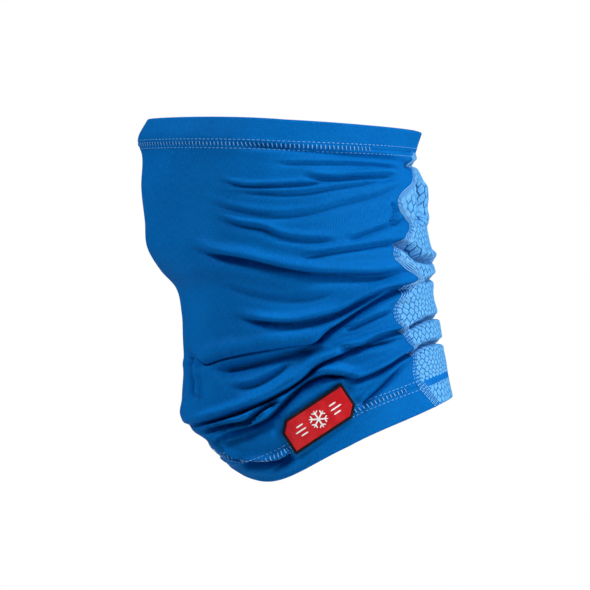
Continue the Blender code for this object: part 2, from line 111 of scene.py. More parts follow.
# Threads and the badge: the darker and the paler tone
THREAD = ((0.060, 0.30, 0.70, 1), (0.16, 0.46, 0.85, 1))
SEAM_THREAD = ((0.14, 0.50, 0.88, 1), (0.34, 0.72, 0.97, 1))
WHITE = ((0.80, 0.80, 0.80, 1), (0.90, 0.90, 0.90, 1))
RUBBER = ((0.006, 0.007, 0.011, 1), (0.016, 0.018, 0.026, 1))
RED = ((0.50, 0.010, 0.016, 1), (0.62, 0.020, 0.026, 1))

# The rings that the cloth passes through, from the top edge down. All columns are percentages.
# cloth: how far down the cloth, along the side
# front, back: place in the side view, from the front (of DEPTH) and from the top (of HEIGHT)
# side: height of the widest place, from the top (of HEIGHT)
# width: of WIDTH; widest: place of the widest place between front and back
# nose: how far the front is drawn to a ridge; droop: how far the cloth hangs between front and side (of HEIGHT)
# curl: how far the front and side are turned in
RINGS = (
    ("top_edge",     0.0, (3.2, 0.5),   (90.2, 4.5),   2.1,  98, 50, 40, 0.0, 0),
    ("nose_tip",     7.2, (0.0, 6.5),   (88.5, 9.0),   7.8, 100, 50, 44, 0.0, 0),
    ("cheek",       12.0, (1.3, 10.5),  (87.7, 12.6), 12.2, 100, 50, 44, 0.0, 0),
    ("upper_lip",   21.0, (1.1, 19.5),  (90.6, 18.0), 20.0, 100, 50, 40, 0.0, 0),
    ("mouth",       30.0, (2.2, 28.5),  (91.2, 27.5), 28.0,  98, 50, 34, 0.0, 0),
    ("chin",        39.0, (3.2, 36.5),  (92.6, 34.5), 36.0,  96, 50, 26, 0.0, 0),
    ("under_chin",  45.7, (7.4, 42.5),  (94.0, 39.5), 42.0,  93, 51, 18, 0.0, 0),
    ("throat_top",  51.3, (12.0, 47.0), (93.7, 44.5), 47.0,  89, 52,  8, 0.0, 0),
    ("throat",      58.6, (13.9, 54.0), (93.8, 49.5), 53.5,  87, 53,  0, 0.0, 0),
    ("throat_low",  66.0, (14.3, 61.0), (95.3, 54.5), 60.0,  85, 53,  0, 0.0, 0),
    ("collar",      73.0, (14.6, 69.0), (96.3, 59.5), 66.5,  84, 53,  0, 0.0, 0),
    ("collar_low",  79.3, (14.0, 77.0), (97.0, 64.0), 71.5,  84, 53,  0, 2.0, 0),
    ("tuck",        85.4, (14.3, 83.0), (97.8, 67.5), 76.0,  84, 53,  0, 4.5, 0),
    ("hem_top",     90.5, (23.2, 88.8), (98.2, 70.0), 80.1,  84, 53,  0, 7.3, 0),
    ("hem_edge",   100.0, (27.4, 95.8), (100.0, 77.2), 88.3, 85, 54,  0, 6.2, 6),
)

# Metres down the side for each percent of the cloth
SIDE_STEP = (RINGS[-1][4] - RINGS[0][4]) / 100 * HEIGHT / 100

# The folds, each along a line in the side view. All columns are percentages.
# points: from the front (of DEPTH) and from the top (of HEIGHT)
# depth, width and lip: of FOLD_DEPTH, FOLD_WIDTH and FOLD_LIP
# ridge: how much of the usual ridge the cloth makes beside the groove
FOLDS = (
    ("hem_shadow", ((31, 9), (42, 9.5), (54.5, 10.5), (67.5, 11.5), (78.5, 12), (85.5, 13.5)), 32, 53, 0,
     60),
    ("cheek_1", ((43.5, 14), (54.5, 14), (67.5, 14), (80, 14.5), (85, 16.5)), 24, 40, 0, 100),
    ("cheek_2", ((27, 18.5), (34, 20), (43.5, 20), (53, 19.5), (59.5, 19)), 37.4, 42, 0, 100),
    ("cheek_3", ((53, 17.5), (61, 18), (69, 17.5), (77, 17), (82, 16.5)), 59.5, 54, 0, 100),
    ("cheek_4", ((30, 21.5), (40.5, 22), (51.5, 22), (62.5, 20.5), (73.5, 19), (85, 16.5)), 24, 47, 0, 100),
    ("cheek_5", ((22, 24), (31, 26.5), (42, 28), (53, 27.5), (64, 25), (75.5, 22.5), (85, 19)), 28.8, 68, 0,
     100),
    ("pucker", ((80, 24), (81, 27), (79, 30)), 45, 36, 0, 60),
    ("jaw_1", ((26, 28.5), (32.5, 30.5), (39.5, 31.5), (45, 33.5), (53, 34.5), (62.5, 34.5)), 40.8, 62, 0,
     100),
    ("jaw_2", ((66, 34.5), (72, 32.5), (78.5, 30.5), (85, 28.5)), 40, 50, 0, 100),
    ("jaw_3", ((51.5, 39), (62.5, 37.5), (73.5, 36), (84, 34.5)), 48, 56, 0, 100),
    ("jaw_4", ((17.5, 36.5), (24.5, 38.5), (34, 40), (43.5, 42), (53, 43.5), (64, 44), (75.5, 44),
               (85.5, 42.5)), 96, 90, 15, 100),
    ("neck_1", ((27, 46.5), (37, 49.5), (48.5, 50.5), (61, 49)), 24, 80, 0, 100),
    ("neck_2", ((31, 55), (39, 56.5), (47.5, 57), (55.5, 56), (63.5, 54), (71, 50.5), (79.5, 47.5),
                (91.5, 45.5)), 105.6, 74, 15, 100),
    ("flap_1", ((16, 64.5), (20.8, 66.8), (26, 65.4), (35.3, 63.6), (48.7, 61.8), (60, 60.8)), 130, 90, 150,
     60),
    ("wedge", ((23, 69), (28, 69.2), (36, 67.8), (44, 66), (52, 64.2), (58, 62.8)), 135, 120, 0, 0),
    ("flap_2", ((52, 62.5), (57, 60.5), (63, 57.5), (67.5, 55), (72, 52.5), (77, 50), (82.5, 47.8),
                (88, 47.5)), 120, 58, 10, 70),
    ("nape_1", ((63, 63.5), (69, 62.5), (74, 60.8), (79, 59.5), (85.5, 58.5)), 97.5, 50, 0, 100),
    ("nape_2", ((65, 58.6), (70, 57), (75, 55), (80, 53.6)), 46, 46, 0, 80),
    ("collar_1", ((15.5, 85), (20.8, 83.6), (29.2, 81.3), (38.4, 78.1), (45.1, 75.2), (53.6, 70.1),
                  (58.5, 66.9), (69.4, 63.2), (83, 60.6)), 168.75, 62, 70, 100),
    ("collar_2", ((20, 86.2), (29.2, 84), (35, 82.8), (40.5, 79.4), (46, 76.6)), 112.5, 46, 20, 100),
    ("collar_3", ((30, 74.5), (37, 73.5), (43, 70.8), (49, 67)), 46, 66, 0, 80),
    ("hollow", ((24.2, 88.6), (28.7, 86.6), (35.3, 85), (41.4, 82.2), (47.5, 77), (53, 72.8), (58.5, 70.8),
                (64.2, 71), (70, 72.2)), 169, 78, 30, 100),
    ("tail_1", ((66, 72), (72, 71), (78.5, 68.5), (83, 66), (89, 63.2)), 108, 54, 25, 100),
    ("tail_2", ((42.5, 96.5), (49, 93), (58, 87.5), (66, 82), (70.5, 78.5), (75.5, 74.5), (80.5, 70.5),
                (86, 66)), 64, 53, 0, 100),
    ("hem_1", ((33, 94.6), (39.5, 94.6), (45, 94), (50, 91)), 114, 58, 0, 100),
    ("hem_2", ((23, 87.8), (27, 90), (30, 92.3), (33, 94)), 126, 50, 0, 100),
    ("hem_3", ((27, 89.5), (34, 87.5), (41.5, 84.5), (47, 80.5)), 36, 80, 0, 100),
    ("pleat", ((16.5, 66), (18, 69), (18.5, 73), (18.5, 77.5)), 154, 44, 0, 60),
    ("back_1", ((84, 14), (87.5, 13), (92.5, 11.5)), 52, 58, 0, 60),
    ("back_2", ((88.5, 18), (89.3, 22), (89.8, 26), (88.5, 30)), 104, 60, 0, 60),
    ("back_3", ((80.5, 35), (85, 36.5), (88.5, 39), (94.5, 40)), 123.5, 70, 0, 70),
    ("back_4", ((91, 45.5), (93, 44.5), (96, 43.5)), 80, 55, 0, 30),
    ("back_5", ((85.5, 58.5), (89.5, 56.5), (93, 55.2), (98, 54.6)), 150, 48, 0, 0),
    ("back_6", ((87.5, 64.5), (91, 62.6), (95, 61.8), (99, 61.8)), 165, 48, 0, 0),
)

# The seam between the two panels on the left side, as places in the side view. Both columns are percentages.
SEAM = (
    (86, 0), (86.5, 13), (86.5, 20), (83, 23), (82.5, 25), (86, 29), (86, 32.5), (81.5, 37), (81.5, 39),
    (86.5, 42), (88.5, 45), (86, 47.5), (82.5, 50.5), (81.5, 53), (84, 58.5), (86.5, 62.5),
    (88.5, 72.5), (94, 78.5),
)

# Shape of a fold across its line, in fold widths from the line, positive below it
RIDGE_PLACE, RIDGE_SPREAD, RIDGE_HEIGHT = -1.25, 0.95, 0.55
GROOVE_PLACE, GROOVE_SPREAD, GROOVE_HEIGHT = 0.1, 0.75, -0.6
SLOPE_PLACE, SLOPE_SPREAD, SLOPE_HEIGHT = 2.0, 1.3, 0.2
LIP_PLACE, LIP_SPREAD = -0.7, 0.8
CREASE_HEIGHT, CREASE_SPREAD = 0.42, 0.3

# A fold fades over FOLD_END of its length and overruns its points; past FOLD_REACH widths it moves nothing
FOLD_END, FOLD_OVERRUN = 0.2, 0.04
FOLD_REACH = 6
RUN_ON = 6
LINE_STEPS = 8

# Where round the ring the cloth droops and curls, in degrees from the front
DROOP_PLACE, DROOP_SPREAD = 52, 32
CURL_PLACE, CURL_SPREAD = 40, 45
NOSE_ROUNDING = 0.15

# How the folds wander on the hidden right side, as shares of DEPTH and HEIGHT, and how they blend at the middle
WANDER_BACK, WANDER_DOWN = 0.044, 0.031
BACK_WAVES, BACK_START = 12, 1
DOWN_WAVES, DOWN_START = (7, 5), 0.5
BLEND_WIDTH = 0.2 * WIDTH

# Small steps of angle and cloth, from which a surface's directions are worked out
TURN_STEP, CLOTH_STEP = 1e-3, 0.05

# Where round the tube the seam is looked for, and at how many places
SEAM_FROM, SEAM_TO, SEAM_PLACES = math.radians(100), math.radians(179), 160
SEAM_KNOTS = np.linspace(0, 100, 161)


def side_place(from_front, from_top):
    """Y and Z of a place in the side view, given in percent."""
    return (from_front / 100 - ORIGIN_FROM_FRONT) * DEPTH, (ORIGIN_FROM_TOP - from_top / 100) * HEIGHT


def smooth_through(knots, values, at):
    """A curve through the values, whose slope at each knot follows its neighbours."""
    knots = np.asarray(knots, float)
    values = np.asarray(values, float)
    slopes = np.gradient(values, knots)
    index = np.clip(np.searchsorted(knots, at, side="right") - 1, 0, len(knots) - 2)
    span = knots[index + 1] - knots[index]
    t = (at - knots[index]) / span
    start = (2 * t**3 - 3 * t**2 + 1) * values[index] + (t**3 - 2 * t**2 + t) * span * slopes[index]
    end = (3 * t**2 - 2 * t**3) * values[index + 1] + (t**3 - t**2) * span * slopes[index + 1]
    return start + end


def smoothstep(x):
    x = np.clip(x, 0, 1)
    return x * x * (3 - 2 * x)


def bell(x, place, spread):
    return np.exp(-(((x - place) / spread) ** 2))


def unit(vectors):
    return vectors / np.linalg.norm(vectors, axis=-1, keepdims=True)


def on_both_sides(angle, place, spread):
    """A bell at a place on each side of the front, given in degrees."""
    degrees = (np.degrees(angle) + 180) % 360 - 180
    return bell(degrees, place, spread) + bell(degrees, -place, spread)


def tube(angle, cloth):
    """Points of the smooth tube: angle from the front towards the left, cloth in percent from the top edge."""
    down = [ring[1] for ring in RINGS]

    def column(read):
        return smooth_through(down, [read(ring) for ring in RINGS], cloth)

    front_y = column(lambda ring: side_place(*ring[2])[0])
    front_z = column(lambda ring: side_place(*ring[2])[1])
    back_y = column(lambda ring: side_place(*ring[3])[0])
    back_z = column(lambda ring: side_place(*ring[3])[1])
    side_z = column(lambda ring: side_place(0, ring[4])[1])
    half_width = column(lambda ring: ring[5] / 100 * WIDTH / 2)
    middle_y = front_y + (back_y - front_y) * column(lambda ring: ring[6] / 100)
    nose = column(lambda ring: ring[7] / 100)
    droop = column(lambda ring: ring[8] / 100 * HEIGHT)
    curl = column(lambda ring: ring[9] / 100)

    c, s = np.cos(angle), np.sin(angle)
    ridge_drop = math.hypot(1, NOSE_ROUNDING) - NOSE_ROUNDING
    ridge = (math.hypot(1, NOSE_ROUNDING) - np.hypot(s, NOSE_ROUNDING)) / ridge_drop
    forward = np.where(c > 0, (1 - nose) * c + nose * ridge, 0)
    y = middle_y - (middle_y - front_y) * forward + (back_y - middle_y) * np.maximum(-c, 0)
    z = front_z * (c * c + c) / 2 + side_z * (1 - c * c) + back_z * (c * c - c) / 2
    z = z - droop * on_both_sides(angle, DROOP_PLACE, DROOP_SPREAD)
    turned_in = 1 - curl * on_both_sides(angle, CURL_PLACE, CURL_SPREAD)
    return np.stack([half_width * s * turned_in, middle_y + (y - middle_y) * turned_in, z], axis=-1)


def run_of(points):
    """The length of a line of points, from its start to each of them."""
    return np.concatenate([[0], np.cumsum(np.linalg.norm(np.diff(points, axis=0), axis=1))])


def fold_line(points):
    """A smooth line through a fold's points, and the share of its length at each of its own points."""
    places = np.array([side_place(*point) for point in points])
    knots = np.arange(len(places))
    at = np.linspace(0, len(places) - 1, LINE_STEPS * (len(places) - 1) + 1)
    line = np.stack([smooth_through(knots, places[:, i], at) for i in (0, 1)], axis=-1)
    run = run_of(line)
    return line, run / run[-1]


FOLD_LINES = [fold_line(fold[1]) for fold in FOLDS]


def from_line(line, share, y, z):
    """Distance from a line, positive on its right, and the share along it; its ends run on straight."""
    nearest = np.full(y.shape, np.inf)
    signed, along = np.zeros(y.shape), np.zeros(y.shape)
    for i in range(len(line) - 1):
        step = line[i + 1] - line[i]
        length = math.hypot(*step)
        t = ((y - line[i, 0]) * step[0] + (z - line[i, 1]) * step[1]) / length**2
        t = np.clip(t, -RUN_ON if i == 0 else 0, 1 + RUN_ON if i == len(line) - 2 else 1)
        off_y = y - line[i, 0] - t * step[0]
        off_z = z - line[i, 1] - t * step[1]
        distance = np.hypot(off_y, off_z)
        near = distance < nearest
        nearest[near] = distance[near]
        signed[near] = ((step[1] * off_y - step[0] * off_z) / length)[near]
        along[near] = (share[i] + t * (share[i + 1] - share[i]))[near]
    return signed, along


def folds_at(y, z):
    """How far the folds push the cloth out, and how far they draw it down, at places in the side view."""
    grooves, ridges, slide, in_groove = (np.zeros(y.shape) for _ in range(4))
    for (_, _, depth, width, lip, ridge), (line, share) in zip(FOLDS, FOLD_LINES):
        fold_width = width / 100 * FOLD_WIDTH
        reach = FOLD_REACH * fold_width
        near = (y > line[:, 0].min() - reach) & (y < line[:, 0].max() + reach)
        near &= (z > line[:, 1].min() - reach) & (z < line[:, 1].max() + reach)
        signed, along = from_line(line, share, y[near], z[near])
        across = signed / fold_width
        ends = smoothstep((along + FOLD_OVERRUN) / FOLD_END) * smoothstep((1 + FOLD_OVERRUN - along) / FOLD_END)
        height = depth / 100 * FOLD_DEPTH * ends
        groove = bell(across, GROOVE_PLACE, GROOVE_SPREAD)
        crease = np.exp(-np.abs(across - GROOVE_PLACE) / CREASE_SPREAD)
        grooves[near] += height * (GROOVE_HEIGHT * groove - CREASE_HEIGHT * crease * ends)
        raised = RIDGE_HEIGHT * bell(across, RIDGE_PLACE, RIDGE_SPREAD)
        raised += SLOPE_HEIGHT * bell(across, SLOPE_PLACE, SLOPE_SPREAD)
        ridges[near] += ridge / 100 * height * raised
        in_groove[near] = np.maximum(in_groove[near], groove * ends)
        slide[near] += lip / 100 * FOLD_LIP * ends * bell(across, LIP_PLACE, LIP_SPREAD)
    return grooves + ridges * (1 - in_groove), slide


def badge_place(y, z):
    """Distances along and across the badge of places in the side view."""
    middle_y, middle_z = side_place(100 * BADGE_FROM_FRONT, 100 * BADGE_FROM_TOP)
    along = (y - middle_y) * math.cos(BADGE_RISE) + (z - middle_z) * math.sin(BADGE_RISE)
    across = (z - middle_z) * math.cos(BADGE_RISE) - (y - middle_y) * math.sin(BADGE_RISE)
    return along, across


def clear_of_badge(y, z):
    """0 where the badge backs the cloth and keeps it smooth, 1 away from it."""
    along, across = badge_place(y, z)
    outside_ends = np.maximum(np.abs(along) - BADGE_LENGTH / 2, 0)
    outside_sides = np.maximum(np.abs(across) - BADGE_WIDTH / 2, 0)
    return smoothstep((np.hypot(outside_ends, outside_sides) - BADGE_MARGIN) / BADGE_MARGIN)


def directions(angle, cloth, surface):
    """Outward normal and downward direction of a surface, both of length one."""
    across = surface(angle + TURN_STEP, cloth) - surface(angle - TURN_STEP, cloth)
    low, high = np.maximum(cloth - CLOTH_STEP, 0), np.minimum(cloth + CLOTH_STEP, 100)
    down = surface(angle, high) - surface(angle, low)
    return unit(np.cross(down, across)), unit(down)


def folded_tube(angle, cloth):
    """Points of the outside of the cloth, with its folds."""
    points = tube(angle, cloth)
    x, y, z = points[..., 0], points[..., 1], points[..., 2]
    left = smoothstep(x / BLEND_WIDTH + 0.5)
    hidden = smoothstep(-x / BLEND_WIDTH)
    away_y = y + hidden * WANDER_BACK * DEPTH * np.sin(BACK_WAVES * z / HEIGHT + BACK_START)
    wave = DOWN_WAVES[0] * y / DEPTH + DOWN_WAVES[1] * z / HEIGHT + DOWN_START
    away_z = z + hidden * WANDER_DOWN * HEIGHT * np.sin(wave)
    left_push, left_slide = folds_at(y, z)
    right_push, right_slide = folds_at(away_y, away_z)
    kept = np.where(x > 0, clear_of_badge(y, z), 1)
    push = (left * left_push + (1 - left) * right_push) * kept
    slide = (left * left_slide + (1 - left) * right_slide) * kept
    normal, down = directions(angle, cloth, tube)
    return points + push[..., None] * normal + slide[..., None] * down


def seam_angle(cloth):
    """The angle at which a ring of the smooth tube meets the seam on the left side."""
    angle = np.linspace(SEAM_FROM, SEAM_TO, SEAM_PLACES)
    ring = tube(angle, np.full(angle.shape, cloth))
    seam = np.array([side_place(*place) for place in reversed(SEAM)])
    seam_y = smooth_through(seam[:, 1], seam[:, 0], ring[:, 2])
    return float(np.interp(0, ring[:, 1] - seam_y, angle))


SEAM_TABLE = np.array([seam_angle(row) for row in SEAM_KNOTS])
SEAM_TABLE = np.convolve(np.pad(SEAM_TABLE, 1, mode="edge"), [0.25, 0.5, 0.25], mode="valid")


def seam_angles(cloth):
    """The seam's angle for many rows at once."""
    return np.interp(cloth, SEAM_KNOTS, SEAM_TABLE)


# The folded cloth is worked out once on a fine grid, and every piece is cut from it
SHEET_ROUND, SHEET_DOWN = 960, 760


def make_sheet():
    angle = np.linspace(0, 2 * math.pi, SHEET_ROUND, endpoint=False)
    angle, cloth = np.meshgrid(angle, np.linspace(0, 100, SHEET_DOWN + 1))
    points = folded_tube(angle, cloth)
    round_ = np.roll(points, -1, axis=1) - np.roll(points, 1, axis=1)
    down = np.gradient(points, axis=0)
    return points, unit(np.cross(down, round_))


SHEET, SHEET_NORMAL = make_sheet()


def weights(t):
    """The four weights of a smooth curve through four values."""
    return np.stack([(-t**3 + 2 * t**2 - t) / 2, (3 * t**3 - 5 * t**2 + 2) / 2, (-3 * t**3 + 4 * t**2 + t) / 2,
                     (t**3 - t**2) / 2], axis=-1)


def read(values, angle, cloth):
    """Values of the fine grid at places between its points."""
    across = np.mod(angle / (2 * math.pi), 1) * SHEET_ROUND
    down = np.clip(cloth / 100, 0, 1) * SHEET_DOWN
    column, row = np.floor(across).astype(int), np.minimum(np.floor(down).astype(int), SHEET_DOWN - 1)
    by_column, by_row = weights(across - column), weights(down - row)
    found = np.zeros(angle.shape + (3,))
    for i in range(4):
        rows = np.clip(row + i - 1, 0, SHEET_DOWN)
        for j in range(4):
            columns = (column + j - 1) % SHEET_ROUND
            found += (by_row[..., i] * by_column[..., j])[..., None] * values[rows, columns]
    return found


def surface(angle, cloth):
    """The outside of the cloth, with every fold."""
    return read(SHEET, angle, cloth)


def normals(angle, cloth):
    return unit(read(SHEET_NORMAL, angle, cloth))


# How finely the scene divides the cloth
FRONT_COLUMNS, FRONT_ROWS = 220, 210
BACK_COLUMNS, BACK_ROWS = 104, 273
HEM_COLUMNS, HEM_ROWS = 420, 20

# The knit: mean lengths of the cloth round the tube and down it, as worn
ROUND, DOWN = 0.58, 0.245

# The honeycomb of the back panel
CELL_WIDTH, CELL_LENGTH = 0.0062, 0.0105
CELL_RELIEF, CELL_BEVEL = 0.00022, 0.2
CELL_SQUASH = 1.7

# How stretched cloth warps the honeycomb: how far, over what wave length, and where the wave starts
WARP_ACROSS, WARP_DOWN = (0.0011, 0.0037, 1.0), (0.0012, 0.0043, 2.0)
BROAD_WARP, BROAD_DOWN, BROAD_ACROSS = 0.0008, 0.0095, 0.006

# Stitches
LADDER_PITCH, LADDER_LENGTH, LADDER_WIDTH, LADDER_SLANT = 0.0031, 0.0030, 0.00080, 0.0004
DASH_PITCH, DASH_LENGTH, DASH_WIDTH, DASH_OFFSET = 0.0035, 0.0022, 0.00050, 0.0031
THREAD_HEIGHT, THREAD_LIFT = 0.00030, 0.00012
TOP_LADDER_END, BOTTOM_LADDER_END = 0.062, 0.088
SEAM_LINES = (-0.0028, -0.0014, 0.0, 0.0014, 0.0028)
SEAM_DASH_PITCH, SEAM_DASH_LENGTH, SEAM_DASH_WIDTH = 0.0024, 0.0018, 0.00055
TAPE_WIDTH, TAPE_HEIGHT, TAPE_SINK = 0.0072, 0.00035, 0.0002
BACK_TAPE, BACK_TAPE_HEIGHT, BACK_TAPE_SINK = 0.0086, 0.00022, 0.0001
TAPE_CLOTH = 0.0006
TAPE_STEPS = 320
RUN_PLACES = 1201


def metres_round(angle, cloth):
    """Metres round the smooth tube for each radian."""
    across = tube(angle + TURN_STEP, cloth) - tube(angle - TURN_STEP, cloth)
    return np.linalg.norm(across, axis=-1) / (2 * TURN_STEP)


def metres_to_cloth(angle, cloth, across, down):
    """Angle and cloth percentage of places that lie some metres across and down from others."""
    low, high = np.maximum(cloth - CLOTH_STEP, 0), np.minimum(cloth + CLOTH_STEP, 100)
    per_cloth = np.linalg.norm(tube(angle, high) - tube(angle, low), axis=-1) / (high - low)
    return angle + across / metres_round(angle, cloth), np.clip(cloth + down / per_cloth, 0, 100)


def link(name, mesh, material, smooth=True):
    """An object of a mesh with its material."""
    if smooth:
        mesh.shade_smooth()
    mesh.materials.append(material)
    thing = bpy.data.objects.new(name, mesh)
    bpy.context.collection.objects.link(thing)
    return thing


def grid_faces(rows, columns, start=0, closed=False, flip=False):
    """Quads over a grid of numbered vertices."""
    last = columns if closed else columns - 1
    r, c = np.meshgrid(np.arange(rows - 1), np.arange(last), indexing="ij")
    n = (c + 1) % columns
    quads = np.stack([r * columns + c, (r + 1) * columns + c, (r + 1) * columns + n, r * columns + n], axis=-1)
    quads = quads.reshape(-1, 4) + start
    return quads[:, ::-1] if flip else quads


def rim_of(rows, columns, start=0):
    """The numbers of the vertices round a grid, in order."""
    top = np.arange(columns)
    right = np.arange(1, rows - 1) * columns + columns - 1
    bottom = (rows - 1) * columns + np.arange(columns)[::-1]
    left = np.arange(rows - 2, 0, -1) * columns
    return np.concatenate([top, right, bottom, left]) + start


def strip(first, second):
    """Quads between two closed lines of vertices."""
    return np.stack([first, np.roll(first, -1), np.roll(second, -1), second], axis=-1)


def mesh_of(name, points, quads, maps):
    """A mesh from points and quads, with a UV map for each name in maps."""
    mesh = bpy.data.meshes.new(name)
    mesh.from_pydata(points.tolist(), [], quads.tolist())
    corner = np.zeros(len(mesh.loops), int)
    mesh.loops.foreach_get("vertex_index", corner)
    for layer, places in maps.items():
        uv = mesh.uv_layers.new(name=layer)
        uv.data.foreach_set("uv", places[corner].ravel().astype(np.float32))
    return mesh


def closed_mesh(name, points, faces):
    """A mesh whose faces all look outwards."""
    mesh = bpy.data.meshes.new(name)
    mesh.from_pydata(points.tolist(), [], faces.tolist())
    bm = bmesh.new()
    bm.from_mesh(mesh)
    bmesh.ops.recalc_face_normals(bm, faces=bm.faces)
    bm.to_mesh(mesh)
    bm.free()
    return mesh


def cloth_wall(name, angle, cloth, outer, thickness, closed, material):
    """A wall of cloth whose outside lies on a grid of points and whose inside lies a thickness below."""
    rows, columns = angle.shape
    normal = normals(angle, cloth)
    inner = outer - thickness * normal
    points = np.concatenate([outer.reshape(-1, 3), inner.reshape(-1, 3)])
    count = rows * columns
    quads = [grid_faces(rows, columns, 0, closed), grid_faces(rows, columns, count, closed, True)]
    if closed:
        top, low = np.arange(columns), np.arange(columns) + (rows - 1) * columns
        quads.append(strip(top, top + count))
        quads.append(strip(low + count, low))
    else:
        quads.append(strip(rim_of(rows, columns), rim_of(rows, columns, count)))
    place = np.stack([angle / (2 * math.pi) * ROUND, cloth / 100 * DOWN], axis=-1).reshape(-1, 2)
    cells = np.stack(cell_place(place[:, 0], place[:, 1]), axis=-1)
    turned = np.mod(angle, 2 * math.pi)
    behind = (np.minimum(turned, 2 * math.pi - turned) - seam_angles(cloth)) * WIDTH / 2
    zone = np.stack([behind, cloth / 100], axis=-1).reshape(-1, 2)
    maps = {each: np.concatenate([places, places]) for each, places in
            (("cloth", place), ("cells", cells), ("zone", zone))}
    return link(name, mesh_of(name, points, np.concatenate(quads), maps), material)


def curl_over(outer, normal, from_edge, radius):
    """Rounds a turned edge, from which the places lie some metres away."""
    t = np.clip(1 - from_edge / radius, 0, 1)
    return outer - (radius * (1 - np.sqrt(np.maximum(1 - t * t, 0))))[..., None] * normal


def sink_edges(outer, normal, cloth):
    """Draws the cloth in by a hair where the hem's stitches pull it down."""
    near = np.minimum(np.abs(cloth - HEM), np.abs(cloth - (100 - HEM))) * SIDE_STEP
    return outer - (STITCH_PULL * bell(near, 0, STITCH_SPREAD))[..., None] * normal


def panel_angles(rows, columns, behind):
    """A grid of angles and cloth from seam to seam, over the front or behind."""
    cloth = np.linspace(HEM, 100 - HEM, rows + 1)
    edge = seam_angles(cloth)
    if behind:
        angle = edge[:, None] + (2 * math.pi - 2 * edge)[:, None] * np.linspace(0, 1, columns + 1)[None, :]
    else:
        angle = edge[:, None] * np.linspace(-1, 1, columns + 1)[None, :]
    return angle, np.repeat(cloth[:, None], columns + 1, axis=1)


def front_cloth(material):
    angle, cloth = panel_angles(FRONT_ROWS, FRONT_COLUMNS, False)
    outer = sink_edges(surface(angle, cloth), normals(angle, cloth), cloth)
    return cloth_wall("front_cloth", angle, cloth, outer, CLOTH, False, material)


def back_cloth(material):
    angle, cloth = panel_angles(BACK_ROWS, BACK_COLUMNS, True)
    normal = normals(angle, cloth)
    outer = sink_edges(surface(angle, cloth), normal, cloth)
    outer = outer + (CELL_RELIEF * quilting(angle, cloth))[..., None] * normal
    return cloth_wall("back_cloth", angle, cloth, outer, CLOTH, False, material)


def quilting(angle, cloth):
    """1 in the middle of a honeycomb cell and 0 on its lines."""
    place = cell_place(angle / (2 * math.pi) * ROUND, cloth / 100 * DOWN)
    return smoothstep(cell_edge(*place) / CELL_BEVEL)


def cell_place(u, v):
    """Places in a honeycomb whose cells are one wide, slightly warped as stretched cloth is."""
    far, wave, start = WARP_ACROSS
    u = u + far * np.sin(v / wave + start) + BROAD_WARP * np.sin(v / BROAD_DOWN + u / BROAD_ACROSS)
    far, wave, start = WARP_DOWN
    v = v + far * np.sin(u / wave + start)
    return u / CELL_WIDTH, v / CELL_LENGTH


def cell_edge(p, q):
    """Distance to the nearest line of a honeycomb, whose rows are half of q apart."""
    ax, ay = np.mod(p, 1) - 0.5, np.mod(q, 1) - 0.5
    bx, by = np.mod(p + 0.5, 1) - 0.5, np.mod(q + 0.5, 1) - 0.5
    first = ax**2 + CELL_SQUASH * ay**2 < bx**2 + CELL_SQUASH * by**2
    x, y = np.abs(np.where(first, ax, bx)), np.abs(np.where(first, ay, by))
    return 0.5 - np.maximum(x, 2 * (x + CELL_SQUASH * y) / (1 + CELL_SQUASH))


def hem_band(name, low, high, material):
    """A turned hem: doubled cloth with a rounded edge where it is folded over."""
    rows = np.linspace(low, high, HEM_ROWS + 1)
    angle = np.linspace(0, 2 * math.pi, HEM_COLUMNS, endpoint=False)
    angle, cloth = np.meshgrid(angle, rows)
    normal = normals(angle, cloth)
    outer = sink_edges(surface(angle, cloth), normal, cloth)
    from_fold = (cloth - low if low == 0 else high - cloth) * SIDE_STEP
    outer = curl_over(outer, normal, from_fold, HEM_CLOTH / 3)
    return cloth_wall(name, angle, cloth, outer, HEM_CLOTH, True, material)


def threads(name, angle, cloth, width, height, material, lift=THREAD_LIFT):
    """Short raised threads, each along a row of places on the cloth, six-sided and closed at its ends."""
    count, steps = angle.shape
    points = surface(angle, cloth)
    normal = normals(angle, cloth)
    side = unit(np.cross(unit(np.gradient(points, axis=1)), normal))
    t = np.linspace(-1, 1, steps)
    taper = np.sqrt(np.maximum(1 - np.abs(t) ** 4, 0.12))[None, :, None]
    ring = []
    for k in range(6):
        a = math.pi / 3 * k
        ring.append(points + side * (width / 2 * math.cos(a)) * taper
                    + normal * (lift + height * (0.35 + 0.65 * math.sin(a)) * taper))
    ring = np.stack(ring, axis=2)
    base = np.arange(count)[:, None, None] * steps * 6
    s, k = np.meshgrid(np.arange(steps - 1), np.arange(6), indexing="ij")
    n = (k + 1) % 6
    quad = np.stack([s * 6 + k, s * 6 + n, (s + 1) * 6 + n, (s + 1) * 6 + k], axis=-1).reshape(-1, 4)
    faces = [(quad[None] + base).reshape(-1, 4)]
    for start in (0, (steps - 1) * 6):
        cap = np.array([[0, 1, 2, 3], [0, 3, 4, 5]]) + start
        faces.append((cap[None] + base).reshape(-1, 4))
    return link(name, closed_mesh(name, ring.reshape(-1, 3), np.concatenate(faces)), material)


def marks(angle, cloth, across, down, steps=5):
    """Paths of short threads: each runs from one end to the other of a small line in metres on the cloth."""
    t = np.linspace(-0.5, 0.5, steps)[None, :]
    angle, cloth = np.repeat(angle[:, None], steps, 1), np.repeat(cloth[:, None], steps, 1)
    return metres_to_cloth(angle, cloth, across * t, down * t)


def spaced(points, values, pitch, shift):
    """The values at places that lie about a pitch apart along a line of points."""
    run = run_of(points)
    count = int(run[-1] / pitch)
    return np.interp((np.arange(count) + shift) * run[-1] / count, run, values)


